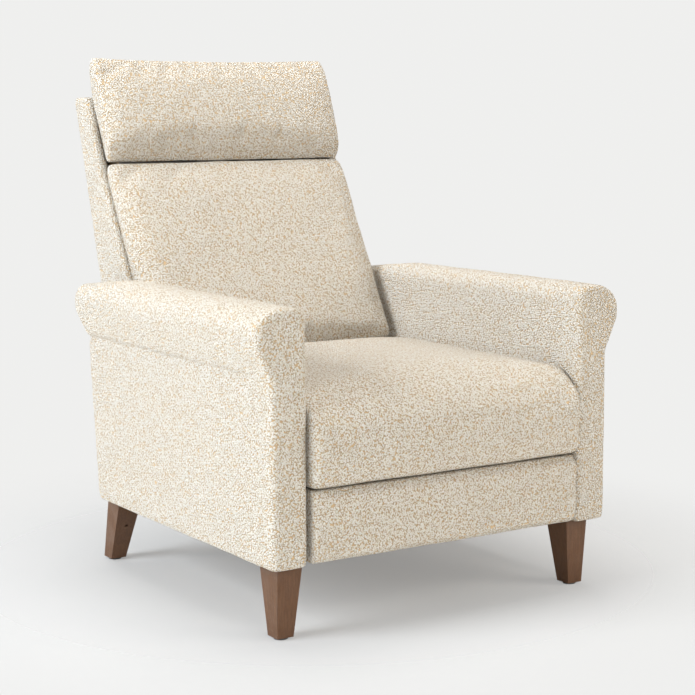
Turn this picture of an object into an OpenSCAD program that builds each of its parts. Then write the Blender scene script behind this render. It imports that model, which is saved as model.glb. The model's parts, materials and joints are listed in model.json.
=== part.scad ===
// Recliner armchair: upholstered arms, a reclining back and a footrest on a steel linkage.
// +Z is up, the chair's front faces -Y, and the origin is on the floor at the plan centre.
// Side outlines are [a, z] points, where a is the distance behind the arms' front face.

/* [Overall] */
// Width over the arm rolls
overall_w = 825; // [687:1:990]
// Depth from the seat cushion's nose to the top rear edge of the back
overall_d = 989; // [824:1:1187]
// Height to the top of the head cushion
overall_h = 1052; // [876:1:1263]

/* [Arms] */
// Height of the arms' upholstery above the legs
arm_body_h = 466; // [405:1:560]
// How far the arm roll stands out past the arm's outer side
roll_proud = 29.5; // [15:0.5:40]
// Radius of the arm roll
roll_r = 52; // [44:1:60]
// Radius of the arm's inner top edge
arm_edge_r = 28; // [15:1:32]
// Width of an arm below its roll
arm_w = 75.5; // [66:0.5:91]
// Padding thickness of the arms, back and footrest
padding = 14; // [10:1:17]
// Thickness of the arm's separate front panel
front_panel_t = 22; // [14:1:26]

/* [Legs] */
// Height of the legs with their glides
leg_h = 137; // [120:1:165]
// Width of a leg at its top
leg_top_w = 52; // [44:1:56]
// How much deeper than wide the tops of the front legs are
leg_more = 12; // [0:1:16]
// Width of a leg at its foot
leg_foot_w = 34; // [28:1:40]
// How far the rear feet are set back from the tops of the rear legs
leg_splay = 44; // [0:1:50]

/* [Seat] */
// Gap between the seat cushion and each arm
cushion_gap = 4.5; // [3:0.5:9]
// Thickness of the seat cushion at its side edges
seat_side_h = 162; // [135:1:195]
// How far the cushion's crown rises above its side edges
crown_rise = 26; // [18:1:32]
// How far the cushion's nose stands out past the arms
nose_proud = 19; // [5:1:30]
// Height of the cushion's underside above the seat frame
cushion_lift = 10; // [8:1:16]

/* [Back] */
// Lean of the back's rear face from the vertical
back_lean = 16.3; // [12:0.1:20]
// Height of the head cushion
head_h = 218; // [180:1:245]
// How far the back shell's top is below the head cushion's top
shell_drop = 81; // [66:1:98]
// Depth of the back at seat level, from its rear face to the cushion's face
back_depth_seat = 208; // [200:1:220]
// Depth of the back just under the head cushion
back_depth_top = 112; // [106:1:120]

/* [Footrest] */
// Height of the closed footrest's lower edge above the legs' tops
pad_low = 5; // [3:1:12]
// Gap between the footrest panel and the seat cushion
panel_gap = 6; // [4:1:12]
// Thickness of the footrest's board
board_t = 18; // [12:1:20]
// How far the footrest's face stands out past the arms
pad_proud = 10; // [4:1:16]

/* [Linkage] */
// Thickness of the linkage's steel bars
bar_t = 3; // [2.5:0.1:3.6]
// Width of the linkage's bars
bar_w = 18; // [16:1:19]
// Radius of the linkage's pivot pins
pin_r = 3.5; // [3:0.1:3.8]
// Length of the footrest's drive links between pivots
drive_len = 160; // [150:1:165]
// Angle that the drive links turn from folded to open
drive_turn = 140; // [130:1:140]
// Spacing of the drive link's and the idler link's pivots
pivot_spacing = 70; // [68:1:74]
// Length of the swing links that carry the seat
swing_len = 80; // [70:1:84]
// Lean of the swing links to the rear with the back upright
swing_lean = 35; // [25:1:40]

/* [Hidden] */
$fn = 64;
fit = 0.2;          // gap between pieces that are fastened together
run = 0.08;         // radial clearance of a running pivot
layer_gap = 1.5;    // gap between neighbouring layers of the linkage
base_z = leg_h;

// Heights
arm_h = base_z + arm_body_h;
rail_top = base_z + 131;
rail_low = base_z + 99;
cushion_under = rail_top + cushion_lift;
seat_edge_h = cushion_under + seat_side_h;
crown_h = seat_edge_h + crown_rise;
pad_h = cushion_under - panel_gap - base_z - pad_low;

// Depth positions along the side plane
y_front = -overall_d / 2 + nose_proud;
rear_top_a = overall_d - nose_proud;
shell_top = overall_h - shell_drop;
crease_gap = 1.5;
crease_z = overall_h - head_h - crease_gap;
function rear(z) = rear_top_a - (shell_top - 6 - z) * tan(back_lean);
hinge_z = base_z + 128;
hinge_a = rear(hinge_z) - 63;
seat_end = hinge_a - 50;
arm_end = hinge_a + 55;

// Width positions
arm_out = overall_w / 2 - roll_proud;
arm_in = arm_out - arm_w;
cushion_x = arm_in - cushion_gap;
shell_x = arm_in - 5.5;
pad_x = arm_in - 7.5;
base_rail_t = 26;
base_rail_x = arm_in - 1.5 - base_rail_t;
base_plate_x = base_rail_x - bar_t;
plate_x = base_rail_x - 6 * bar_t - 4 * layer_gap - 2;
link_x = plate_x + bar_t + layer_gap;
long_x = link_x + bar_t + layer_gap;
bracket_x = long_x + bar_t + layer_gap;
stay_x = bracket_x + bar_t + layer_gap;

// Seat frame
rail_x = plate_x - fit;
rail_t = 26;
front_rail_a = 50;
front_rail_t = 24;
rear_rail_t = 26;

// Footrest linkage, folded
pivot_a = [68, base_z + 121];
idler_a = pivot_a + pivot_spacing * [cos(20), -sin(20)];
function folded(len, extra) = len * [-cos(drive_turn + extra), -sin(drive_turn + extra)];
elbow = pivot_a + folded(drive_len, 0);
idler_elbow = idler_a + folded(drive_len, 0);
panel_pivot = [54, base_z + 127];
stay_arm = 34;
stay_bend = -8;
stay_low = elbow + folded(stay_arm, stay_bend);
stay_high = panel_pivot + [20.3, -41.5];
tube_r = 8;
tube_at = pivot_a + folded(drive_len / 2, 0);

// Seat swing links
swing_front = [270, base_z + 28];
swing_rear = [hinge_a - 150, base_z + 28];
swing_top = swing_len * [sin(swing_lean), cos(swing_lean)];

// Base frame
base_rail_h = 50;
base_rail_low = base_z + 13;
rear_rail_a = hinge_a - 2;
arm_bolt_r = 4;
arm_bolt_z = base_z + 38;
arm_bolt_a = [120, hinge_a - 70];
arm_bolt_head = 3;
leg_bolt_r = 4;
leg_inset = 25;
leg_in = arm_in - 1.5;
glide_t = 4;
glide_r = 13;
front_leg_a = leg_inset;
rear_leg_a = hinge_a - 34;
panel_x = arm_in + 28;
panel_t = 18;
cleat_h = 44;

// Springs and webbing
wire_r = 1.8;
loop_r = 18;
loop_reach = 8;
spring_x = [-3, -1, 1, 3] * (rail_x - rail_t - 7.8) / 4;
spring_z = rail_top + wire_r + 1;
spring_start = front_rail_a + front_rail_t / 2;
loop_count = floor((seat_end - rear_rail_t / 2 - spring_start) / (2 * loop_r));
clip_w = 16;
strap_h = 44;
strap_pitch = 84;
strap_t = 2;

// Back frame
stile_t = 23;
stile_x = plate_x - layer_gap - bar_t - 0.5 - stile_t;
stile_depth = 45;
shell_t = 18;
shell_side_t = 22;
shell_low = base_z + 91;
stile_low = base_z + 105;
stile_high = shell_top - 46;
bracket_high = base_z + 270;

// ---- helpers ----

// Draws its children on the right (side 1) or mirrored to the left (side -1)
module on_side(side) {
    if (side > 0) children();
    else mirror([1, 0, 0]) children();
}

// Moves [a, z] drawing space into the chair's frame, from x0 and t thick
module side_plane(x0, t) {
    translate([x0, y_front, 0]) rotate([90, 0, 90]) linear_extrude(t) children();
}

// Extrudes an [x, z] outline from a0 to a1
module along_depth(a0, a1) {
    translate([0, y_front + a1, 0]) rotate([90, 0, 0]) linear_extrude(a1 - a0) children();
}

// A board between two [x, a, z] corners
module board(low, high) {
    translate([low.x, y_front + low.y, low.z]) cube(high - low);
}

// A round pin along X at an [a, z] point
module cross_pin(at, r, x0, x1) {
    translate([x0, y_front + at.x, at.y]) rotate([0, 90, 0]) cylinder(h = x1 - x0, r = r);
}

// A flat bar with a round eye at each [a, z] point, a little wider than its neck
module bar_2d(points, w) {
    neck = w - 2;
    for (p = points) translate(p) circle(w / 2);
    for (i = [1 : len(points) - 1]) {
        step = points[i] - points[i - 1];
        translate(points[i - 1]) rotate(atan2(step.y, step.x)) translate([0, -neck / 2])
            square([norm(step), neck]);
    }
}

// A bar drilled for running pivots
module link(x0, points, holes) {
    difference() {
        side_plane(x0, bar_t) bar_2d(points, bar_w);
        for (p = holes) cross_pin(p, pin_r + run, x0 - 1, x0 + bar_t + 1);
    }
}

// ---- arms and base ----

module arm_outline() {
    roll_x = overall_w / 2 - roll_r;
    roll_z = arm_h - roll_r;
    square_w = arm_out - arm_in;
    translate([arm_in, base_z]) square([square_w, arm_h - arm_edge_r - base_z]);
    translate([roll_x, roll_z]) circle(roll_r);
    translate([arm_in + arm_edge_r, arm_h - arm_edge_r]) circle(arm_edge_r);
    translate([arm_in + arm_edge_r, roll_z]) square([roll_x - arm_in - arm_edge_r, roll_r]);
    // The cover is drawn in under the roll
    polygon([[arm_out, roll_z - 75], [roll_x + roll_r * cos(24), roll_z - roll_r * sin(24)],
        [roll_x, roll_z], [arm_in + arm_edge_r, roll_z - 75]]);
}

// The arm's rear end leans back and its top falls a little to the rear
module arm_side() {
    side_plane(0, overall_w / 2 + 1)
        polygon([[-1, base_z], [arm_end - 37, base_z], [arm_end, arm_h - 100],
            [arm_end, arm_h - 16], [arm_end - 150, arm_h + 1], [-1, arm_h + 1]]);
}

module arm_bolt_holes(side) {
    for (a = arm_bolt_a)
        cross_pin([a, arm_bolt_z], arm_bolt_r + fit / 2, base_rail_x - 10, panel_x + 8);
}

module leg_bolt_holes(side) {
    for (a = [front_leg_a, rear_leg_a])
        translate([leg_in + leg_top_w / 2, y_front + a + leg_top_w / 2, base_z - 60])
            cylinder(h = 200, r = leg_bolt_r + fit / 2);
}

module arm_cover(side) {
    color("ivory") on_side(side) difference() {
        intersection() {
            along_depth(front_panel_t + fit, arm_end) arm_outline();
            arm_side();
        }
        board([arm_in + padding, front_panel_t + padding, base_z - 1],
            [arm_out - padding, arm_end - 50, arm_h - 2 * padding - 10]);
        arm_bolt_holes();
    }
}

module arm_front(side) {
    color("ivory") on_side(side) along_depth(0, front_panel_t) arm_outline();
}

// A plywood arm panel with a cleat along its lower edge
module arm_frame(side) {
    front = front_panel_t + padding + 1;
    rear = arm_end - 51;
    low = base_z + fit;
    color("burlywood") on_side(side) difference() {
        union() {
            board([panel_x, front, low], [panel_x + panel_t, rear, arm_h - 2 * padding - 12]);
            board([arm_in + padding + 1, front, low], [panel_x + 1, rear, low + cleat_h]);
        }
        arm_bolt_holes();
        leg_bolt_holes();
    }
}

// A tapered leg; more is its top's added depth and back is how far its foot is set back
module leg(side, a, more, back) {
    inset = (leg_top_w - leg_foot_w) / 2;
    foot_x = leg_in + inset + 5;
    color("saddlebrown") on_side(side) difference() {
        intersection() {
            side_plane(0, overall_w / 2)
                polygon([[a, base_z - fit], [a + leg_top_w + more, base_z - fit],
                    [a + inset + back + leg_foot_w, glide_t], [a + inset + back, glide_t]]);
            along_depth(0, overall_d)
                polygon([[leg_in, base_z - fit], [leg_in + leg_top_w, base_z - fit],
                    [foot_x + leg_foot_w, glide_t], [foot_x, glide_t]]);
        }
        leg_bolt_holes();
    }
}

module glide(side, a, back) {
    middle = leg_top_w / 2;
    color("dimgray") on_side(side)
        translate([leg_in + middle + 5, y_front + a + back + middle, 0])
            cylinder(h = glide_t - fit, r = glide_r);
}

module leg_bolts() {
    color("silver") for (side = [-1, 1], a = [front_leg_a, rear_leg_a]) on_side(side)
        translate([leg_in + leg_top_w / 2, y_front + a + leg_top_w / 2, base_z - 40])
            cylinder(h = 80, r = leg_bolt_r);
}

module arm_bolts() {
    color("silver") for (side = [-1, 1], a = arm_bolt_a) on_side(side) {
        cross_pin([a, arm_bolt_z], arm_bolt_r, base_rail_x - 1, panel_x + 6);
        cross_pin([a, arm_bolt_z], 2 * arm_bolt_r, base_rail_x - fit - arm_bolt_head, base_rail_x - fit);
    }
}

module base_rail(side) {
    color("burlywood") on_side(side) difference() {
        board([base_rail_x, leg_inset + 35, base_rail_low],
            [base_rail_x + base_rail_t, rear_rail_a - fit, base_rail_low + base_rail_h]);
        arm_bolt_holes();
        for (p = [swing_front, swing_rear])
            cross_pin(p, pin_r + fit, base_rail_x - 1, base_rail_x + 15);
    }
}

module base_cross_rail() {
    front = swing_front.x + 62;
    wide = base_plate_x - 2 * fit;
    color("burlywood") board([-wide, front, base_rail_low], [wide, front + 26, base_rail_low + 40]);
}

module base_rear_rail() {
    wide = base_rail_x + base_rail_t;
    color("ivory") board([-wide, rear_rail_a, base_z + 3], [wide, rear_rail_a + 26, base_z + 68]);
}

// The base plate carries the swing links' lower studs, each with a spacer collar
module base_plate(side) {
    color("dimgray") on_side(side) {
        side_plane(base_plate_x - fit, bar_t) bar_2d([swing_front, swing_rear], 26);
        for (p = [swing_front, swing_rear]) {
            cross_pin(p, pin_r, link_x - 1, base_rail_x + 14);
            cross_pin(p, 2 * pin_r, link_x + bar_t + 1.2, base_plate_x);
        }
    }
}

// ---- seat ----

module swing_link(side, at) {
    color("silver") on_side(side) link(link_x, [at, at + swing_top], [at, at + swing_top]);
}

// The seat plate carries the upper swing studs and the footrest links' studs
module seat_plate(side) {
    strip_low = base_z + 102;
    strip_h = 34;
    studs = [pivot_a, idler_a, swing_front + swing_top, swing_rear + swing_top];
    color("dimgray") on_side(side) {
        difference() {
            side_plane(plate_x, bar_t) {
                translate([pivot_a.x, strip_low]) square([hinge_a - pivot_a.x, strip_h]);
                translate(pivot_a) circle(14);
                translate(idler_a) circle(12);
                for (p = [swing_front, swing_rear]) translate(p + swing_top) circle(14);
                translate([hinge_a, hinge_z]) circle(17);
            }
            cross_pin([hinge_a, hinge_z], 5 + run, plate_x - 1, plate_x + bar_t + 1);
        }
        for (p = studs) cross_pin(p, pin_r, plate_x + 1, link_x + bar_t + 1);
    }
}

module seat_rail(side) {
    color("burlywood") on_side(side)
        board([rail_x - rail_t, front_rail_a + front_rail_t + fit, rail_low], [rail_x, seat_end, rail_top]);
}

module seat_front_rail() {
    color("burlywood") board([-rail_x, front_rail_a, rail_low + 8],
        [rail_x, front_rail_a + front_rail_t, rail_top]);
}

module seat_rear_rail() {
    wide = rail_x - rail_t - fit;
    color("burlywood") board([-wide, seat_end - rear_rail_t, rail_low], [wide, seat_end, rail_top]);
}

// A zigzag spring wire along the depth: straight runs joined by half loops
module zigzag_spring(x) {
    for (i = [0 : loop_count - 1]) {
        turn = i % 2 == 0 ? 1 : -1;
        a = spring_start + loop_r * (2 * i + 1);
        translate([x + turn * loop_reach, y_front + a, spring_z])
            rotate(turn > 0 ? -90 : 90) rotate_extrude(angle = 180) translate([loop_r, 0]) circle(wire_r, $fn = 24);
        if (i < loop_count - 1)
            translate([x - loop_reach, y_front + a + loop_r, spring_z])
                rotate([0, 90, 0]) cylinder(h = 2 * loop_reach, r = wire_r, $fn = 24);
    }
}

module seat_springs() {
    color("silver") for (x = spring_x) zigzag_spring(x);
}

// Clips hold the wires' ends on the front and rear rails
module spring_clips() {
    last = spring_start + 2 * loop_r * loop_count;
    turn = loop_count % 2 == 0 ? 1 : -1;
    color("dimgray") for (x = spring_x) {
        board([x + loop_reach - clip_w / 2, spring_start - 8, rail_top + fit],
            [x + loop_reach + clip_w / 2, spring_start - wire_r - fit, spring_z + wire_r + 1]);
        board([x - turn * loop_reach - clip_w / 2, last + wire_r + fit, rail_top + fit],
            [x - turn * loop_reach + clip_w / 2, last + 8, spring_z + wire_r + 1]);
    }
}

// The seat cushion is crowned across its width and has a waterfall nose
module seat_cushion() {
    rise = crown_h - seat_edge_h;
    crown_r = (cushion_x * cushion_x + rise * rise) / (2 * rise);
    nose = -nose_proud;
    rear_drop = 36;
    color("ivory") intersection() {
        side_plane(-cushion_x, 2 * cushion_x)
            polygon([[nose + 15, cushion_under], [nose + 4, cushion_under + 7],
                [nose, cushion_under + 24], [nose, cushion_under + 90],
                [nose + 2, seat_edge_h - 50], [nose + 14, seat_edge_h - 32],
                [nose + 35, seat_edge_h - 16], [nose + 70, crown_h - 18],
                [nose + 117, crown_h - 4], [nose + 190, crown_h],
                [seat_end - 200, crown_h], [seat_end - 60, crown_h - rear_drop],
                [seat_end, crown_h - rear_drop - 3], [seat_end, cushion_under]]);
        translate([0, y_front + seat_end + 1, crown_h - crown_r]) rotate([90, 0, 0])
            cylinder(h = seat_end + nose_proud + 2, r = crown_r, $fn = 180);
    }
}

// ---- back ----

// The side line of the shell's front edge, as [a, z] points from the bottom up
function shell_front() = [[rear(seat_edge_h + 40) - 161, seat_edge_h + 40],
    [rear(crease_z - 26) - 80, crease_z - 26], [rear(shell_top) - 61, shell_top]];

module outer_back() {
    side_line = shell_front();
    color("ivory") difference() {
        side_plane(-shell_x, 2 * shell_x)
            polygon([[side_line[0].x, shell_low], each side_line, [rear(shell_top) - 8, shell_top],
                [rear(shell_top - 6), shell_top - 6], [rear(shell_low), shell_low]]);
        side_plane(shell_side_t - shell_x, 2 * (shell_x - shell_side_t))
            polygon([[0, 0], [rear(0) - shell_t, 0],
                [rear(shell_top - shell_t) - shell_t, shell_top - shell_t], [0, shell_top - shell_t]]);
    }
}

// A piece of the back frame that follows the rear face between two heights
module back_strip(x0, x1, z0, z1, behind, depth) {
    near = shell_t + 1 + behind;
    side_plane(x0, x1 - x0)
        polygon([[rear(z0) - near, z0], [rear(z1) - near, z1],
            [rear(z1) - near - depth, z1], [rear(z0) - near - depth, z0]]);
}

module back_stile(side) {
    color("burlywood") on_side(side)
        back_strip(stile_x, stile_x + stile_t, stile_low, stile_high, 0, stile_depth);
}

module back_rail(z0, z1) {
    wide = stile_x - fit;
    color("burlywood") back_strip(-wide, wide, z0, z1, 8, 26);
}

module back_webbing() {
    wide = stile_x + stile_t - 1;
    color("tan") for (z = [stile_low + 80 : strap_pitch : stile_high - strap_h])
        back_strip(-wide, wide, z, z + strap_h, stile_depth + fit, strap_t);
}

// A steel bracket outside each stile, with the hinge pin that turns in the seat plate
module back_bracket(side) {
    x = plate_x - layer_gap - bar_t;
    hinge = [hinge_a, hinge_z];
    upper = [rear(bracket_high) - shell_t - 26, bracket_high];
    color("dimgray") on_side(side) {
        side_plane(x, bar_t) bar_2d([hinge, upper], 28);
        cross_pin(hinge, 5, x, plate_x + bar_t + 1);
        cross_pin(hinge, 9, plate_x + bar_t + 0.6, plate_x + bar_t + 3);
    }
}

module back_cushion() {
    low = crown_h - 30;
    gap = 2;
    side_line = shell_front();
    wide = shell_x - 10;
    inner = shell_x - shell_side_t - 2;
    fill = shell_t + stile_depth + strap_t + 4;
    mid = (low + crease_z) / 2;
    color("ivory") {
        side_plane(-wide, 2 * wide)
            polygon([[rear(low) - back_depth_seat + 10, low], [rear(low + 20) - back_depth_seat, low + 20],
                [rear(mid) - (back_depth_seat + back_depth_top) / 2 - 4, mid],
                [rear(crease_z - 14) - back_depth_top - 4, crease_z - 14],
                [rear(crease_z) - back_depth_top + 6, crease_z],
                [rear(crease_z) - 84 - gap, crease_z],
                side_line[1] - [gap, 0], side_line[0] - [gap, 0], [side_line[0].x - 25, low]]);
        // Foam between the shell's sides, down to the webbing
        side_plane(-inner, 2 * inner)
            polygon([side_line[0] - [gap + 1, 0], side_line[1] - [gap + 1, 0],
                [rear(crease_z - 20) - 83, crease_z - 20],
                [rear(crease_z - 20) - fill, crease_z - 20], [rear(side_line[0].y) - fill, side_line[0].y]]);
    }
}

module head_cushion() {
    low = crease_z + crease_gap;
    top = overall_h;
    wide = shell_x - 10.5;
    color("ivory") side_plane(-wide, 2 * wide)
        polygon([[rear(low) - 100, low], [rear(low + 33) - 119, low + 33],
            [rear(low + 65) - 120, low + 65], [rear(low + 125) - 115, low + 125],
            [rear(top - 20) - 104, top - 20], [rear(top) - 90, top],
            [rear(top) - 79, top - 4], [rear(top - 12) - 73, top - 12],
            [rear(shell_top) - 64, shell_top + 2], [rear(low + 30) - 84, low + 30],
            [rear(low) - 86, low]]);
}

// ---- footrest ----

module drive_link(side) {
    color("silver") on_side(side) difference() {
        union() {
            link(link_x, [pivot_a, elbow, stay_low], [pivot_a]);
            cross_pin(elbow, pin_r, link_x, long_x + bar_t + 1);
            cross_pin(stay_low, pin_r, link_x, stay_x + bar_t + 1);
        }
        cross_pin(tube_at, tube_r, link_x - 1, link_x + fit);
    }
}

module torque_tube() {
    half = link_x - fit;
    color("dimgray") difference() {
        cross_pin(tube_at, tube_r, -half, half);
        cross_pin(tube_at, tube_r - 2, -half - 1, half + 1);
    }
}

module idler_link(side) {
    color("silver") on_side(side) union() {
        link(link_x, [idler_a, idler_elbow], [idler_a]);
        cross_pin(idler_elbow, pin_r, link_x, long_x + bar_t + 1);
    }
}

module long_link(side) {
    color("silver") on_side(side)
        link(long_x, [idler_elbow, elbow, panel_pivot], [idler_elbow, elbow, panel_pivot]);
}

// The stay's upper rivet stops short of the bracket, which it turns beside
module stay_link(side) {
    color("silver") on_side(side) union() {
        link(stay_x, [stay_low, stay_high], [stay_low]);
        cross_pin(stay_high, pin_r, stay_x - 1, stay_x + bar_t + 1);
    }
}

module footrest_bracket(side) {
    flange = 2.6;
    board_back = padding + board_t + 8;
    low = [board_back + 10, base_z + 40];
    color("dimgray") on_side(side) {
        difference() {
            side_plane(bracket_x, bar_t) {
                bar_2d([panel_pivot, stay_high, low], bar_w);
            }
            cross_pin(stay_high, pin_r + 2 * run, bracket_x - 1, bracket_x + bar_t + 1);
        }
        cross_pin(panel_pivot, pin_r, long_x - 1, bracket_x + 1);
        board([bracket_x - 8, board_back + fit, base_z + 25],
            [bracket_x + bar_t, board_back + fit + flange, base_z + 118]);
    }
}

module footrest_board() {
    near = padding + 8;
    color("burlywood") board([16 - pad_x, near, base_z + pad_low + 14],
        [pad_x - 16, near + board_t - fit, base_z + pad_low + pad_h - 14]);
}

module footrest_pad() {
    low = base_z + pad_low;
    high = low + pad_h;
    back = padding + 8 + board_t;
    edge = 12;
    color("ivory") difference() {
        side_plane(-pad_x, 2 * pad_x)
            polygon([[edge - pad_proud, low], [back - fit, low], [back - fit, high], [edge - pad_proud, high],
                [-pad_proud, high - edge], [-pad_proud, low + edge]]);
        board([14 - pad_x, padding + 8 - fit, low + 12], [pad_x - 14, back + 1, high - 12]);
    }
}

arm_cover(-1);  // arm_cover_left
arm_cover(1);  // arm_cover_right
arm_frame(-1);  // arm_frame_left
arm_frame(1);  // arm_frame_right
arm_front(-1);  // arm_front_left
arm_front(1);  // arm_front_right
leg(-1, front_leg_a, leg_more, 0);  // leg_front_left
leg(1, front_leg_a, leg_more, 0);  // leg_front_right
leg(-1, rear_leg_a, 0, leg_splay);  // leg_rear_left
leg(1, rear_leg_a, 0, leg_splay);  // leg_rear_right
glide(-1, front_leg_a, 0);  // glide_front_left
glide(1, front_leg_a, 0);  // glide_front_right
glide(-1, rear_leg_a, leg_splay);  // glide_rear_left
glide(1, rear_leg_a, leg_splay);  // glide_rear_right
leg_bolts();
arm_bolts();
base_rail(-1);  // base_rail_left
base_rail(1);  // base_rail_right
base_cross_rail();
base_rear_rail();
base_plate(-1);  // base_plate_left
base_plate(1);  // base_plate_right
swing_link(-1, swing_rear);  // rear_swing_link_left
swing_link(1, swing_rear);  // rear_swing_link_right
swing_link(-1, swing_front);  // front_swing_link_left
swing_link(1, swing_front);  // front_swing_link_right
seat_plate(-1);  // seat_plate_left
seat_plate(1);  // seat_plate_right
seat_rail(-1);  // seat_rail_left
seat_rail(1);  // seat_rail_right
seat_front_rail();
seat_rear_rail();
seat_springs();
spring_clips();
seat_cushion();
back_stile(-1);  // back_stile_left
back_stile(1);  // back_stile_right
back_rail(stile_low + 20, stile_low + 65);  // back_bottom_rail
back_rail(crown_h + 90, crown_h + 135);  // back_middle_rail
back_rail(stile_high - 45, stile_high);  // back_top_rail
back_webbing();
back_bracket(-1);  // back_bracket_left
back_bracket(1);  // back_bracket_right
outer_back();
back_cushion();
head_cushion();
drive_link(-1);  // drive_link_left
drive_link(1);  // drive_link_right
torque_tube();
idler_link(-1);  // idler_link_left
idler_link(1);  // idler_link_right
long_link(-1);  // long_link_left
long_link(1);  // long_link_right
stay_link(-1);  // stay_link_left
stay_link(1);  // stay_link_right
footrest_bracket(-1);  // footrest_bracket_left
footrest_bracket(1);  // footrest_bracket_right
footrest_board();
footrest_pad();
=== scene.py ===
import json
import math
import bmesh
import bpy
import numpy as np
from mathutils import Matrix, Vector, noise


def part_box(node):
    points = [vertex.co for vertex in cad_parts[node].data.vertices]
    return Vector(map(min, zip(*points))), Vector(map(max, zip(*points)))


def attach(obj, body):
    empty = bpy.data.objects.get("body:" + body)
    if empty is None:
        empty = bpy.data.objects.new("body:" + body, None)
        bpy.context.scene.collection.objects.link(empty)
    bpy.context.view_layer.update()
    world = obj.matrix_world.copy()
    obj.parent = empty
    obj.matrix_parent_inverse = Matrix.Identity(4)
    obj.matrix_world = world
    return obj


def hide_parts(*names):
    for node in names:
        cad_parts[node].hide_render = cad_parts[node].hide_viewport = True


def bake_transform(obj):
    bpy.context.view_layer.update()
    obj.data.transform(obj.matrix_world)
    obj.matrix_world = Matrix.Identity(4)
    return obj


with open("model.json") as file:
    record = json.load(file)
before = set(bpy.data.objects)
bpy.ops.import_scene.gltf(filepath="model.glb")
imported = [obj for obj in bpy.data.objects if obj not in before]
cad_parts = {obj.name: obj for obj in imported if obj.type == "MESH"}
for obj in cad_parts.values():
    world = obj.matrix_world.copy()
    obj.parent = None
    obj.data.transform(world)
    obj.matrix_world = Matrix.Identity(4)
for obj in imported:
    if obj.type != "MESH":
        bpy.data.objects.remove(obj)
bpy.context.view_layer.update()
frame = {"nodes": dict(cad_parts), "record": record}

MM = 0.001
SIDES = {"left": -1, "right": 1}
scene = bpy.context.scene
front_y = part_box("arm_front_right")[0][1]
CREASE_X, CREASE_Z = 0.383, 0.476    # where the crease runs under an arm's roll


# ---------------------------------------------------------------- shader helpers

def add_node(tree, kind, settings=None, **inputs):
    """Adds a node; settings are its properties and inputs are values or sockets by input name."""
    node = tree.nodes.new(kind)
    for name, value in (settings or {}).items():
        setattr(node, name, value)
    for name, value in inputs.items():
        connect(tree, value, node.inputs[name.replace("_", " ")])
    return node


def connect(tree, value, socket):
    """Sets a socket to a plain value, or links another socket to it."""
    if isinstance(value, bpy.types.NodeSocket):
        tree.links.new(value, socket)
    else:
        socket.default_value = value


def math_node(tree, operation, first, second=0.0, clamp=False):
    node = tree.nodes.new("ShaderNodeMath")
    node.operation = operation
    node.use_clamp = clamp
    connect(tree, first, node.inputs[0])
    connect(tree, second, node.inputs[1])
    return node.outputs[0]


def vector_node(tree, operation, first, second):
    node = tree.nodes.new("ShaderNodeVectorMath")
    node.operation = operation
    connect(tree, first, node.inputs[0])
    connect(tree, second, node.inputs[1])
    return node.outputs[0]


def remap(tree, value, low, high, to_low=0.0, to_high=1.0):
    node = add_node(tree, "ShaderNodeMapRange", {"interpolation_type": "SMOOTHSTEP"})
    for socket, number in zip(node.inputs[:5], (value, low, high, to_low, to_high)):
        connect(tree, number, socket)
    return node.outputs[0]


def mix_colour(tree, factor, first, second, blend="MIX"):
    node = add_node(tree, "ShaderNodeMix", {"data_type": "RGBA", "blend_type": blend})
    connect(tree, factor, node.inputs[0])
    connect(tree, first, node.inputs[6])
    connect(tree, second, node.inputs[7])
    return node.outputs[2]


def new_group(name, inputs, outputs):
    """A shader node group; inputs are (name, socket type, default) and outputs are (name, type)."""
    group = bpy.data.node_groups.new(name, "ShaderNodeTree")
    for label, kind, default in inputs:
        group.interface.new_socket(label, in_out="INPUT", socket_type=kind).default_value = default
    for label, kind in outputs:
        group.interface.new_socket(label, in_out="OUTPUT", socket_type=kind)
    return group, group.nodes.new("NodeGroupInput").outputs, group.nodes.new("NodeGroupOutput").inputs


def place_group(tree, group, **inputs):
    node = tree.nodes.new("ShaderNodeGroup")
    node.node_tree = group
    for name, value in inputs.items():
        connect(tree, value, node.inputs[name.replace("_", " ")])
    return node.outputs


def new_material(name):
    """A material with one Principled shader; gives the material, its tree and the shader."""
    material = bpy.data.materials.new(name)
    material.use_nodes = True
    return material, material.node_tree, material.node_tree.nodes["Principled BSDF"]


def add_bump(tree, shader, height, distance, strength=1.0):
    bump = add_node(tree, "ShaderNodeBump", Height=height, Distance=distance, Strength=strength)
    tree.links.new(bump.outputs["Normal"], shader.inputs["Normal"])


# ---------------------------------------------------------------- shared groups

COLOUR, VALUE = "NodeSocketColor", "NodeSocketFloat"


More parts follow.
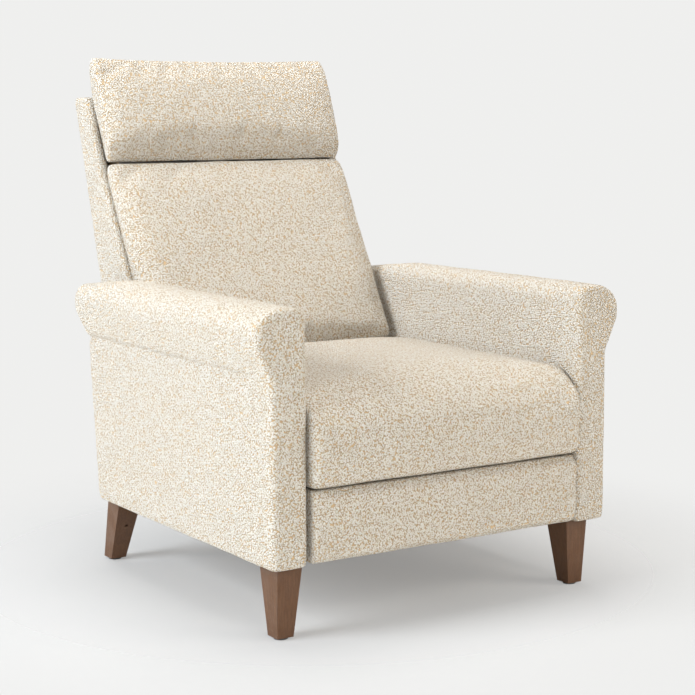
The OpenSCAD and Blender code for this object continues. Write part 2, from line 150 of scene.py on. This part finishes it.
def looped_yarn_group():
    """Nubs of looped yarn: gives the colour over the nubs, darkened with painted shade towards the hollows
    between them, the height of the pile and its roughness.
    """
    group, given, out = new_group(
        "looped yarn",
        [("Nubs per Metre", VALUE, 290.0), ("Tip", COLOUR, (0.8, 0.75, 0.68, 1)),
         ("Body", COLOUR, (0.7, 0.6, 0.5, 1)), ("Hollow", COLOUR, (0.3, 0.2, 0.12, 1))],
        [("ShadedColour", COLOUR), ("Height", VALUE), ("Roughness", VALUE)])
    upright = group.nodes.new("ShaderNodeTexCoord").outputs["Object"]
    place = add_node(group, "ShaderNodeVectorRotate", {"rotation_type": "EULER_XYZ"},
                     Vector=upright, Rotation=(0.6, 0.9, 0.35)).outputs[0]
    scale = given["Nubs per Metre"]
    sway = add_node(group, "ShaderNodeTexNoise", Vector=place, Detail=1.0,
                    Scale=math_node(group, "MULTIPLY", scale, 0.6))
    shift = vector_node(group, "SUBTRACT", sway.outputs["Color"], (0.5, 0.5, 0.5))
    shift = vector_node(group, "MULTIPLY", shift, (0.0022, 0.0022, 0.0022))
    bent = vector_node(group, "ADD", place, shift)
    nubs = add_node(group, "ShaderNodeTexVoronoi", {"feature": "F1"}, Vector=bent, Scale=scale,
                    Randomness=0.85)
    fuzz = add_node(group, "ShaderNodeTexNoise", Vector=place, Detail=2.0, Roughness=0.7,
                    Scale=math_node(group, "MULTIPLY", scale, 4.0))
    reach = math_node(group, "DIVIDE", nubs.outputs["Distance"], 0.74, clamp=True)
    dome = math_node(group, "SUBTRACT", 1.0, math_node(group, "MULTIPLY", reach, reach))
    height = math_node(group, "ADD", math_node(group, "MULTIPLY", dome, 0.9),
                       math_node(group, "MULTIPLY", fuzz.outputs[0], 0.1))
    # Painted shade: by pile height the colour goes from the cream tips through the body tone to tan in the
    # hollows, standing in for the shade that falls between the nubs.
    colour = mix_colour(group, remap(group, height, 0.10, 0.52), given["Hollow"], given["Body"])
    colour = mix_colour(group, remap(group, height, 0.50, 0.85), colour, given["Tip"])
    group.links.new(colour, out["ShadedColour"])
    group.links.new(height, out["Height"])
    group.links.new(remap(group, height, 0.3, 0.8, 1.0, 0.9), out["Roughness"])
    return group


def timber_group():
    """Straight grain along Z, with pores: gives a grain mask and a height."""
    group, given, out = new_group(
        "timber grain", [("Lines per Metre", VALUE, 160.0), ("Stretch", VALUE, 0.06)],
        [("Grain", VALUE), ("Height", VALUE)])
    place = group.nodes.new("ShaderNodeTexCoord").outputs["Object"]
    squash = add_node(group, "ShaderNodeCombineXYZ", X=1.0, Y=1.0, Z=given["Stretch"])
    drawn = vector_node(group, "MULTIPLY", place, squash.outputs[0])
    lines = add_node(group, "ShaderNodeTexNoise", Vector=drawn, Scale=given["Lines per Metre"],
                     Detail=5.0, Roughness=0.62, Distortion=0.5)
    pores = add_node(group, "ShaderNodeTexNoise", Vector=drawn, Detail=2.0,
                     Scale=math_node(group, "MULTIPLY", given["Lines per Metre"], 7.0))
    broad = remap(group, lines.outputs[0], 0.32, 0.68)
    fine = remap(group, pores.outputs[0], 0.42, 0.60)
    grain = math_node(group, "ADD", math_node(group, "MULTIPLY", broad, 0.72),
                      math_node(group, "MULTIPLY", fine, 0.28))
    group.links.new(grain, out["Grain"])
    group.links.new(fine, out["Height"])
    return group


def handling_group():
    """Faint scuffs and dust: gives a mask between 0 and 1."""
    group, given, out = new_group("handling marks", [("Size", VALUE, 40.0)], [("Mask", VALUE)])
    place = group.nodes.new("ShaderNodeTexCoord").outputs["Object"]
    cloud = add_node(group, "ShaderNodeTexNoise", Vector=place, Scale=given["Size"],
                     Detail=6.0, Roughness=0.65)
    group.links.new(remap(group, cloud.outputs[0], 0.38, 0.66), out["Mask"])
    return group


looped_yarn = looped_yarn_group()
timber = timber_group()
handling = handling_group()


# ---------------------------------------------------------------- materials

def cream_boucle():
    material, tree, shader = new_material("cream boucle")
    # The hollow colour, and in part the body colour, are painted shade between the nubs over the cream of
    # the tips.
    yarn = place_group(tree, looped_yarn, Nubs_per_Metre=300.0, Tip=(0.95, 0.915, 0.855, 1),
                       Body=(0.87, 0.785, 0.64, 1), Hollow=(0.50, 0.35, 0.19, 1))
    tree.links.new(yarn["ShadedColour"], shader.inputs["Base Color"])
    tree.links.new(yarn["Roughness"], shader.inputs["Roughness"])
    shader.inputs["Sheen Weight"].default_value = 0.2
    shader.inputs["Sheen Roughness"].default_value = 0.6
    shader.inputs["Specular IOR Level"].default_value = 0.1
    add_bump(tree, shader, yarn["Height"], 0.011)
    return material


def stained_walnut():
    material, tree, shader = new_material("stained walnut")
    wood = place_group(tree, timber, Lines_per_Metre=420.0, Stretch=0.02)
    marks = place_group(tree, handling, Size=25.0)
    colour = mix_colour(tree, wood["Grain"], (0.060, 0.025, 0.009, 1), (0.104, 0.047, 0.019, 1))
    tree.links.new(colour, shader.inputs["Base Color"])
    tree.links.new(remap(tree, marks["Mask"], 0.0, 1.0, 0.46, 0.58), shader.inputs["Roughness"])
    shader.inputs["Specular IOR Level"].default_value = 0.3
    add_bump(tree, shader, wood["Height"], 0.0002, 0.5)
    return material


def raw_timber():
    material, tree, shader = new_material("raw frame timber")
    wood = place_group(tree, timber, Lines_per_Metre=90.0, Stretch=0.12)
    colour = mix_colour(tree, wood["Grain"], (0.42, 0.26, 0.13, 1), (0.66, 0.48, 0.29, 1))
    tree.links.new(colour, shader.inputs["Base Color"])
    shader.inputs["Roughness"].default_value = 0.75
    add_bump(tree, shader, wood["Height"], 0.0005, 0.6)
    return material


def zinc_plate():
    material, tree, shader = new_material("zinc plated steel")
    marks = place_group(tree, handling, Size=120.0)
    colour = mix_colour(tree, marks["Mask"], (0.46, 0.46, 0.45, 1), (0.62, 0.62, 0.59, 1))
    tree.links.new(colour, shader.inputs["Base Color"])
    tree.links.new(remap(tree, marks["Mask"], 0.0, 1.0, 0.28, 0.45), shader.inputs["Roughness"])
    shader.inputs["Metallic"].default_value = 1.0
    return material


def black_powder_coat():
    material, tree, shader = new_material("black powder coat")
    marks = place_group(tree, handling, Size=60.0)
    place = tree.nodes.new("ShaderNodeTexCoord").outputs["Object"]
    orange_peel = add_node(tree, "ShaderNodeTexNoise", Vector=place, Scale=1400.0, Detail=2.0)
    colour = mix_colour(tree, marks["Mask"], (0.022, 0.022, 0.024, 1), (0.045, 0.045, 0.047, 1))
    tree.links.new(colour, shader.inputs["Base Color"])
    tree.links.new(remap(tree, marks["Mask"], 0.0, 1.0, 0.42, 0.55), shader.inputs["Roughness"])
    add_bump(tree, shader, orange_peel.outputs[0], 0.0002, 0.5)
    return material


def woven(name, colour_a, colour_b, threads):
    """Plain weave: crossing bands at so many threads per metre."""
    material, tree, shader = new_material(name)
    place = tree.nodes.new("ShaderNodeTexCoord").outputs["Object"]
    across = add_node(tree, "ShaderNodeTexWave", {"bands_direction": "X"}, Vector=place, Scale=threads / 6.3)
    along = add_node(tree, "ShaderNodeTexWave", {"bands_direction": "Z"}, Vector=place, Scale=threads / 6.3)
    weave = math_node(tree, "MULTIPLY", across.outputs["Fac"], along.outputs["Fac"])
    tree.links.new(mix_colour(tree, weave, colour_a, colour_b), shader.inputs["Base Color"])
    shader.inputs["Roughness"].default_value = 0.9
    add_bump(tree, shader, weave, 0.0006, 0.7)
    return material


def moulded_nylon():
    material, tree, shader = new_material("moulded nylon")
    marks = place_group(tree, handling, Size=200.0)
    tree.links.new(mix_colour(tree, marks["Mask"], (0.02, 0.02, 0.02, 1), (0.05, 0.05, 0.05, 1)),
                   shader.inputs["Base Color"])
    shader.inputs["Roughness"].default_value = 0.5
    return material


materials = {
    "boucle": cream_boucle(),
    "walnut": stained_walnut(),
    "frame_wood": raw_timber(),
    "zinc_steel": zinc_plate(),
    "black_steel": black_powder_coat(),
    "webbing": woven("webbing weave", (0.10, 0.095, 0.085, 1), (0.30, 0.28, 0.25, 1), 900.0),
    "glide": moulded_nylon(),
}
lining = woven("black lining", (0.012, 0.012, 0.013, 1), (0.04, 0.04, 0.042, 1), 1200.0)


# ---------------------------------------------------------------- mesh helpers

def read_points(mesh, what="co"):
    values = np.empty(len(mesh.vertices) * 3)
    mesh.vertices.foreach_get(what, values)
    return values.reshape(-1, 3)


def write_points(mesh, points):
    mesh.vertices.foreach_set("co", points.ravel())
    mesh.update()


def bake_modifiers(piece):
    """Replaces a piece's mesh with what its modifiers make of it."""
    graph = bpy.context.evaluated_depsgraph_get()
    mesh = bpy.data.meshes.new_from_object(piece.evaluated_get(graph))
    piece.modifiers.clear()
    piece.data = mesh


def add_piece(name, mesh, material):
    piece = bpy.data.objects.new(name, mesh)
    scene.collection.objects.link(piece)
    mesh.materials.clear()
    mesh.materials.append(material)
    return piece


def finish_piece(piece, body, slot, *nodes):
    """Smooth shading, then the body it rides on and the nodes it stands for, which it hides; slot is not
    used.
    """
    piece.data.shade_smooth()
    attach(piece, body)
    if nodes:
        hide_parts(*nodes)
    return piece


def soft_copy(name, nodes, voxel, rounds):
    """An even, round-edged mesh over the plain shapes of one soft part or several."""
    shape = bmesh.new()
    for node in nodes:
        shape.from_mesh(frame["nodes"][node].data)
    bmesh.ops.remove_doubles(shape, verts=shape.verts, dist=0.02 * MM)
    mesh = bpy.data.meshes.new(name)
    shape.to_mesh(mesh)
    shape.free()
    piece = add_piece(name, mesh, materials["boucle"])
    remesh = piece.modifiers.new("even", "REMESH")
    remesh.mode = "VOXEL"
    remesh.voxel_size = voxel
    ease = piece.modifiers.new("ease", "SMOOTH")
    ease.factor = 0.5
    ease.iterations = rounds
    bake_modifiers(piece)
    return piece


def move_out(piece, distance):
    """Moves the surface along its normals; distance is one number or one per point."""
    points = read_points(piece.data)
    normals = read_points(piece.data, "normal")
    write_points(piece.data, points + normals * np.reshape(distance, (-1, 1)))


def swell(piece, pressure, cap, room, free):
    """Blows a cushion's free points up as cloth, by no more than cap, inside the room's box."""
    start = read_points(piece.data)
    held = piece.vertex_groups.new(name="held")
    held.add(np.flatnonzero(~free(start, read_points(piece.data, "normal"))).tolist(), 1.0, "REPLACE")
    cloth = piece.modifiers.new("cloth", "CLOTH")
    cloth.settings.quality = 5
    cloth.settings.use_pressure = True
    cloth.settings.uniform_pressure_force = pressure
    cloth.settings.effector_weights.gravity = 0.0
    cloth.settings.shrink_min = -0.012
    cloth.settings.vertex_group_mass = "held"
    cloth.point_cache.frame_start = 1
    cloth.point_cache.frame_end = 16
    for number in range(1, 17):
        scene.frame_set(number)
    graph = bpy.context.evaluated_depsgraph_get()
    swollen = read_points(piece.evaluated_get(graph).data)
    piece.modifiers.remove(cloth)
    scene.frame_set(1)
    step = swollen - start
    length = np.linalg.norm(step, axis=1, keepdims=True)
    step *= cap * np.tanh(length / cap) / np.maximum(length, 1e-9)
    write_points(piece.data, np.clip(start + step, room[0], room[1]))
    ease = piece.modifiers.new("ease", "SMOOTH")
    ease.factor = 0.5
    ease.iterations = 4
    bake_modifiers(piece)


def subdivide(piece, levels=1):
    finer = piece.modifiers.new("finer", "SUBSURF")
    finer.levels = levels
    finer.render_levels = levels
    bake_modifiers(piece)


def hand_feel(piece, broad=1.2 * MM, fine=0.5 * MM):
    """The slight unevenness of padding under fabric."""
    points = read_points(piece.data)
    lift = [broad * noise.noise(Vector(p) * 9.0) + fine * noise.noise(Vector(p) * 31.0) for p in points]
    move_out(piece, np.array(lift))


def room_of(node, more=0.0, **sides):
    """A node's box, grown by more on each side, with single sides set by name such as z_low."""
    low, high = (np.array(corner, dtype=float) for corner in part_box(node))
    low, high = low - more, high + more
    for name, value in sides.items():
        axis, end = "xyz".index(name[0]), name[2:]
        (low if end == "low" else high)[axis] = value
    return low, high


def strip_mesh(name, line, half_width, columns):
    """A ribbon across X along a line of (y, z) points rounded through them."""
    count = len(line)
    smooth = []
    for index in range(count - 1):
        before, here = line[max(index - 1, 0)], line[index]
        after, beyond = line[index + 1], line[min(index + 2, count - 1)]
        for step in range(6):
            t = step / 6
            smooth.append([0.5 * (2 * here[k] + (after[k] - before[k]) * t
                                  + (2 * before[k] - 5 * here[k] + 4 * after[k] - beyond[k]) * t * t
                                  + (3 * here[k] - before[k] - 3 * after[k] + beyond[k]) * t ** 3)
                           for k in (0, 1)])
    smooth.append(list(line[-1]))
    across = [half_width * (2 * column / columns - 1) for column in range(columns + 1)]
    points = [(x, y, z) for y, z in smooth for x in across]
    row = columns + 1
    faces = [(r * row + c, r * row + c + 1, (r + 1) * row + c + 1, (r + 1) * row + c)
             for r in range(len(smooth) - 1) for c in range(columns)]
    mesh = bpy.data.meshes.new(name)
    mesh.from_pydata(points, [], faces)
    return mesh


# ---------------------------------------------------------------- upholstery

def seat_cushion():
    node = "seat_cushion"
    low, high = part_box(node)
    piece = soft_copy("seat_cushion_cover", [node], 6 * MM, 7)
    move_out(piece, 1.5 * MM)
    room = room_of(node, 2.5 * MM, z_high=high[2] + 14 * MM, y_low=low[1] - 8 * MM)
    swell(piece, 2.0, 4 * MM, room,
          lambda points, normals: (points[:, 2] > low[2] + 30 * MM)
          & ((normals[:, 2] > 0.25) | (normals[:, 1] < -0.4)))
    subdivide(piece)
    hand_feel(piece)
    return finish_piece(piece, "seat", "boucle", node)


def facing_forward(points, normals):
    """Which points face forward; points are given but not needed."""
    return normals[:, 1] < -0.45


def back_cushion():
    node = "back_cushion"
    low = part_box(node)[0]
    piece = soft_copy("back_cushion_cover", [node], 7 * MM, 7)
    move_out(piece, 1.0 * MM)
    swell(piece, 3.0, 9 * MM, room_of(node, 2 * MM, y_low=low[1] - 20 * MM), facing_forward)
    subdivide(piece)
    hand_feel(piece)
    return finish_piece(piece, "back", "boucle", node)


def head_cushion():
    node = "head_cushion"
    low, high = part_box(node)
    piece = soft_copy("head_cushion_cover", [node], 6 * MM, 8)
    move_out(piece, 1.5 * MM)
    swell(piece, 3.0, 8 * MM, room_of(node, 5 * MM, y_low=low[1] - 12 * MM), facing_forward)
    points = read_points(piece.data)
    upper = np.clip((points[:, 2] - high[2] + 120 * MM) / (120 * MM), 0, 1)
    points[:, 2] += (6 * (points[:, 0] / high[0]) ** 2 - 1) * MM * upper ** 2
    write_points(piece.data, points)
    subdivide(piece)
    hand_feel(piece)
    return finish_piece(piece, "back", "boucle", node)


def arm(side):
    """The cover and its front panel, with the crease that runs under the roll on the outer side."""
    nodes = [f"arm_cover_{side}", f"arm_front_{side}"]
    piece = soft_copy(f"arm_{side}_cover", nodes, 6 * MM, 16)
    subdivide(piece)
    points = read_points(piece.data)
    outer = SIDES[side] * points[:, 0] > CREASE_X - 12 * MM
    height = (points[:, 2] - CREASE_Z) / (5 * MM)
    reach = np.clip((points[:, 1] - front_y - 60 * MM) / (80 * MM), 0, 1)
    groove = 2.5 * MM * np.exp(-(height / 2.6) ** 2) + 3.5 * MM * np.exp(-height ** 2)
    move_out(piece, 1.2 * MM - groove * reach * outer)
    hand_feel(piece, 1.0 * MM, 0.5 * MM)
    finish_piece(piece, "base", "boucle", *nodes)


def outer_back():
    piece = soft_copy("outer_back_cover", ["outer_back"], 5 * MM, 9)
    move_out(piece, 0.8 * MM)
    hand_feel(piece)
    return finish_piece(piece, "back", "boucle", "outer_back")


def footrest_pad():
    piece = soft_copy("footrest_pad_cover", ["footrest_pad"], 4 * MM, 6)
    move_out(piece, 1.5 * MM)
    hand_feel(piece, 0.8 * MM, 0.4 * MM)
    return finish_piece(piece, "footrest", "boucle", "footrest_pad")


def rear_rail_cover():
    piece = soft_copy("rear_rail_cover", ["base_rear_rail"], 4 * MM, 6)
    hand_feel(piece, 0.6 * MM, 0.3 * MM)
    return finish_piece(piece, "base", "boucle", "base_rear_rail")


def crease_cloth():
    """The cloth that closes the gap between the seat and the back, folded down when upright."""
    seat_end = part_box("seat_cushion")[1][1]
    seat_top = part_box("seat_cushion")[1][2] - 42 * MM
    line = [(seat_end - 14 * MM, seat_top), (seat_end + 1 * MM, seat_top - 6 * MM),
            (seat_end + 5 * MM, seat_top - 36 * MM), (seat_end + 10 * MM, seat_top - 58 * MM),
            (seat_end + 17 * MM, seat_top - 36 * MM), (seat_end + 22 * MM, seat_top),
            (seat_end + 30 * MM, seat_top + 46 * MM)]
    half_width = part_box("back_stile_right")[1][0] + 20 * MM
    mesh = strip_mesh("crease_cloth", line, half_width, 60)
    piece = add_piece("crease_cloth", mesh, materials["boucle"])
    mesh.shade_smooth()
    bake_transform(piece)


def dust_cover(side):
    """Black lining stretched over the underside of an arm."""
    low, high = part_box(f"arm_cover_{side}")
    inset = 10 * MM
    x_in = SIDES[side] * (min(abs(low[0]), abs(high[0])) + inset)
    x_out = SIDES[side] * (CREASE_X - inset)
    y_low, y_high = low[1] + inset, high[1] - 37 * MM - inset
    z = low[2] + 1.2 * MM
    columns = 40
    points = [(x, y_low + (y_high - y_low) * step / columns, z)
              for step in range(columns + 1) for x in (x_in, x_out)]
    faces = [(2 * step, 2 * step + 1, 2 * step + 3, 2 * step + 2) for step in range(columns)]
    mesh = bpy.data.meshes.new(f"arm_{side}_lining")
    mesh.from_pydata(points, [], faces)
    piece = add_piece(f"arm_{side}_lining", mesh, lining)
    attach(piece, "base")


seat_cushion()
back_cushion()
head_cushion()
for side in SIDES:
    arm(side)
outer_back()
footrest_pad()
rear_rail_cover()
crease_cloth()
for side in SIDES:
    dust_cover(side)


# ---------------------------------------------------------------- frame and mechanism

def ease_edges(node, width):
    """Joins a node's faces and rounds its sharp edges."""
    weld = node.modifiers.new("join", "WELD")
    weld.merge_threshold = 0.02 * MM
    bevel = node.modifiers.new("round", "BEVEL")
    bevel.width = width
    bevel.segments = 3
    bevel.limit_method = "ANGLE"
    bevel.angle_limit = math.radians(40)


EDGE = {"walnut": 2.0 * MM, "frame_wood": 1.5 * MM, "zinc_steel": 0.4 * MM, "black_steel": 0.4 * MM,
        "webbing": 0.3 * MM, "glide": 0.8 * MM}

for entry in frame["record"]["subparts"]:
    slot = entry["material_slot"]
    if slot not in EDGE:
        continue
    node = frame["nodes"][entry["node"]]
    node.data.materials.clear()
    node.data.materials.append(materials[slot])
    if entry["node"] != "seat_springs":
        ease_edges(node, EDGE[slot])


# ---------------------------------------------------------------- stage, lights and camera

def studio_floor():
    """A pale floor that throws light back; to the camera it fades into the backdrop's colour."""
    reach = 3.5
    mesh = bpy.data.meshes.new("studio_floor")
    shape = bmesh.new()
    bmesh.ops.create_circle(shape, cap_ends=True, radius=reach, segments=96)
    shape.to_mesh(mesh)
    shape.free()
    material, tree, shader = new_material("studio paper")
    sight = tree.nodes.new("ShaderNodeLightPath").outputs["Is Camera Ray"]
    tree.links.new(mix_colour(tree, sight, (0.82, 0.82, 0.81, 1), (0.41, 0.41, 0.41, 1)),
                   shader.inputs["Base Color"])
    shader.inputs["Roughness"].default_value = 0.9
    shader.inputs["Specular IOR Level"].default_value = 0.1
    place = tree.nodes.new("ShaderNodeTexCoord").outputs["Object"]
    radius = add_node(tree, "ShaderNodeVectorMath", {"operation": "LENGTH"})
    tree.links.new(place, radius.inputs[0])
    clear = tree.nodes.new("ShaderNodeBsdfTransparent")
    fade = tree.nodes.new("ShaderNodeMixShader")
    seen = remap(tree, radius.outputs["Value"], 0.3, 1.25, 0.28, 1.0)
    tree.links.new(math_node(tree, "MULTIPLY", seen, sight), fade.inputs[0])
    tree.links.new(shader.outputs[0], fade.inputs[1])
    tree.links.new(clear.outputs[0], fade.inputs[2])
    tree.links.new(fade.outputs[0], tree.nodes["Material Output"].inputs["Surface"])
    floor = add_piece("studio_floor", mesh, material)


def backdrop_light(seen, cast):
    """The backdrop's colour as the camera sees it, and the weaker light that it casts."""
    world = bpy.data.worlds.new("studio")
    world.use_nodes = True
    tree = world.node_tree
    sight = tree.nodes.new("ShaderNodeLightPath").outputs["Is Camera Ray"]
    tree.links.new(mix_colour(tree, sight, cast, seen), tree.nodes["Background"].inputs["Color"])
    scene.world = world


def soft_box(name, place, target, size, power, colour=(1.0, 0.98, 0.95)):
    lamp = bpy.data.lights.new(name, "AREA")
    lamp.shape = "RECTANGLE"
    lamp.size, lamp.size_y = size
    lamp.energy = power
    lamp.color = colour
    light = bpy.data.objects.new(name, lamp)
    scene.collection.objects.link(light)
    light.location = place
    light.rotation_euler = (Vector(target) - Vector(place)).to_track_quat("-Z", "Y").to_euler()


def studio_camera():
    """A long lens at the front left, a little above the arms and looking slightly down."""
    yaw, pitch, roll = (math.radians(angle) for angle in (32.92, -7.73, -0.23))
    ahead = Vector((math.sin(yaw) * math.cos(pitch), math.cos(yaw) * math.cos(pitch), math.sin(pitch)))
    right = Vector((math.cos(yaw), -math.sin(yaw), 0.0))
    up = right.cross(ahead)
    turned_right = right * math.cos(roll) + up * math.sin(roll)
    turned_up = up * math.cos(roll) - right * math.sin(roll)
    lens = bpy.data.cameras.new("studio_camera")
    lens.lens = 90.97
    lens.clip_start = 0.05
    camera = bpy.data.objects.new("studio_camera", lens)
    scene.collection.objects.link(camera)
    turn = Matrix((turned_right, turned_up, -ahead)).transposed()
    camera.matrix_world = Matrix.Translation((-1.9013, front_y - 2.5906, 0.9445)) @ turn.to_4x4()
    scene.camera = camera


studio_floor()
backdrop_light((0.865, 0.865, 0.855, 1), (0.25, 0.25, 0.25, 1))
soft_box("key", (-4.0, 0.1, 2.3), (0, 0, 0.5), (2.0, 2.0), 335, (0.90, 0.95, 1.0))
soft_box("top", (0.2, 0.6, 4.0), (0, 0, 0.4), (2.5, 2.5), 160, (1.0, 0.99, 0.97))
soft_box("front", (-1.2, -4.2, 2.2), (0, 0, 0.5), (2.4, 2.4), 96, (1.0, 0.96, 0.90))
soft_box("fill", (2.6, -3.2, 1.8), (0, 0, 0.5), (2.4, 2.4), 110, (1.0, 0.96, 0.90))
studio_camera()
scene.view_settings.view_transform = "Standard"
